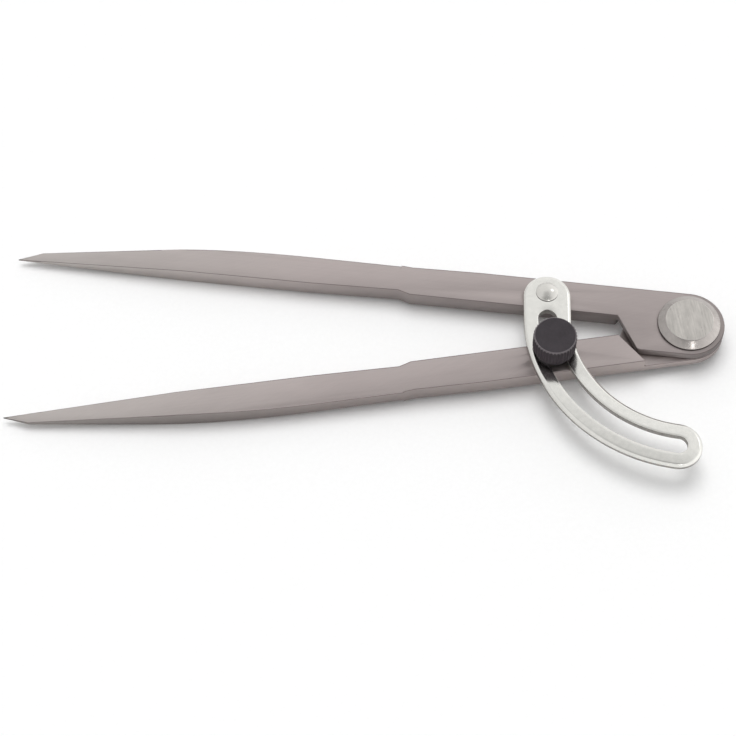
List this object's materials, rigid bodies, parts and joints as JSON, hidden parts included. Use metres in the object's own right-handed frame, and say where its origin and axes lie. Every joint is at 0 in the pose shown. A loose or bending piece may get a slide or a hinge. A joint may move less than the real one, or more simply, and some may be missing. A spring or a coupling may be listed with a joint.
{
  "type": "wing dividers",
  "caption": "Steel wing dividers with two pointed legs on a firm joint, a slotted wing and a knurled clamp screw that locks the opening.",
  "frame": {"origin": "on the pivot axis, in the plane of the back of the pivot nut", "axes": "Z runs along the pivot axis towards the wing's side, and -X runs midway between the legs towards the points"},
  "size_m": [0.2086, 0.0765, 0.0185],
  "materials": {
    "leg_steel": "satin ground steel, brushed along the leg",
    "washer_bronze": "plain bronze",
    "pivot_steel": "brushed bright steel",
    "wing_nickel": "bright nickel plate",
    "knob_black": "blackened, satin",
    "stud_steel": "turned steel"
  },
  "bodies": {
    "upper_leg": {"upper_leg": "leg_steel", "joint_washer": "washer_bronze", "pivot_screw": "pivot_steel", "pivot_nut": "pivot_steel", "wing": "wing_nickel", "wing_rivet": "wing_nickel"},
    "lower_leg": {"lower_leg": "leg_steel"},
    "clamp_washer": {"clamp_washer": "knob_black"},
    "clamp_screw": {"clamp_knob": "knob_black", "clamp_stud": "stud_steel"}
  },
  "joints": [
    {"name": "leg_hinge", "type": "hinge", "parent": "upper_leg", "child": "lower_leg", "pos_m": [0, 0, 0.005], "axis": [0, 0, 1], "range_deg": [-15.4, 67.1]},
    {"name": "clamp_lift", "type": "slide", "parent": "lower_leg", "child": "clamp_washer", "axis": [0, 0, 1], "range_m": [0, 0.0014]},
    {"name": "clamp_turn", "type": "hinge", "parent": "clamp_washer", "child": "clamp_screw", "pos_m": [-0.04005, -0.00965, 0.012], "axis": [0, 0, 1], "range_deg": [0, 720]}
  ],
  "couplings": [
    {"joint": "clamp_turn", "follows": "clamp_lift", "rad_per_m": 8975.9}
  ]
}
